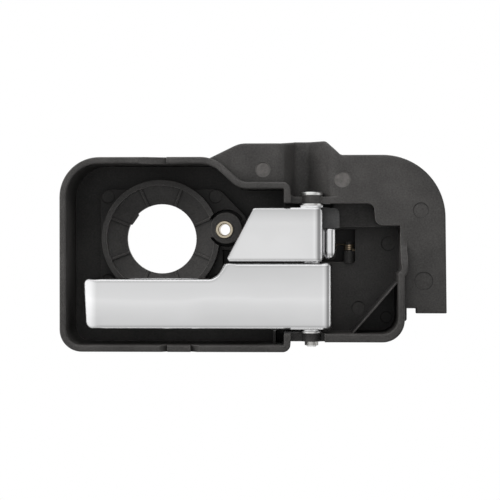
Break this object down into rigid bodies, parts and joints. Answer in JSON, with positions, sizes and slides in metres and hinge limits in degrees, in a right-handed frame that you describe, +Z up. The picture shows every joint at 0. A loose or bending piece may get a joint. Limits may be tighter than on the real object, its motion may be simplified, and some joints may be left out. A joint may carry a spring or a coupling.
{
  "type": "car interior door handle",
  "caption": "Interior car door handle: moulded black pan with a back plate and switch ring, and a chromed release lever and lock button that turn on one upright pin.",
  "frame": {"origin": "on the axis of the fixing sleeve, at its seat on the door panel", "axes": "+X to the right as the driver sees the handle, +Y into the door, +Z up"},
  "size_m": [0.1748, 0.0425, 0.0955],
  "materials": {
    "black_moulding": "fine moulded grain",
    "sleeve_metal": "zinc plated",
    "lever_chrome": "bright chrome plating on moulded plastic",
    "button_chrome": "bright chrome plating on moulded plastic",
    "crank_moulding": "matt moulded",
    "pin_steel": "zinc plated",
    "retainer_steel": "spring steel",
    "washer_steel": "zinc plated",
    "spring_wire": "drawn spring wire",
    "detent_wire": "yellow passivated spring wire",
    "bump_rubber": "soft black"
  },
  "bodies": {
    "housing": {"housing": "black_moulding", "fixing_sleeve": "sleeve_metal", "pivot_pin": "pin_steel", "pin_retainer": "retainer_steel", "upper_washer": "washer_steel", "lower_washer": "washer_steel", "lever_return_spring": "spring_wire", "lock_detent_spring": "detent_wire", "lever_bump_stop": "bump_rubber"},
    "lever": {"pull_lever": "lever_chrome"},
    "lock": {"lock_paddle": "button_chrome", "lock_crank": "crank_moulding"}
  },
  "joints": [
    {"name": "lever_pull", "type": "hinge", "parent": "housing", "child": "lever", "pos_m": [0.0401, -0.0245, 0], "axis": [0, 0, 1], "range_deg": [0, 36], "stiffness_Nm_per_rad": 0.12, "springref_deg": -20.05, "deforming": ["lever_return_spring"]},
    {"name": "lock_turn", "type": "hinge", "parent": "housing", "child": "lock", "pos_m": [0.0401, -0.0245, 0], "axis": [0, 0, 1], "range_deg": [-16, 0], "deforming": ["lock_detent_spring"]}
  ]
}
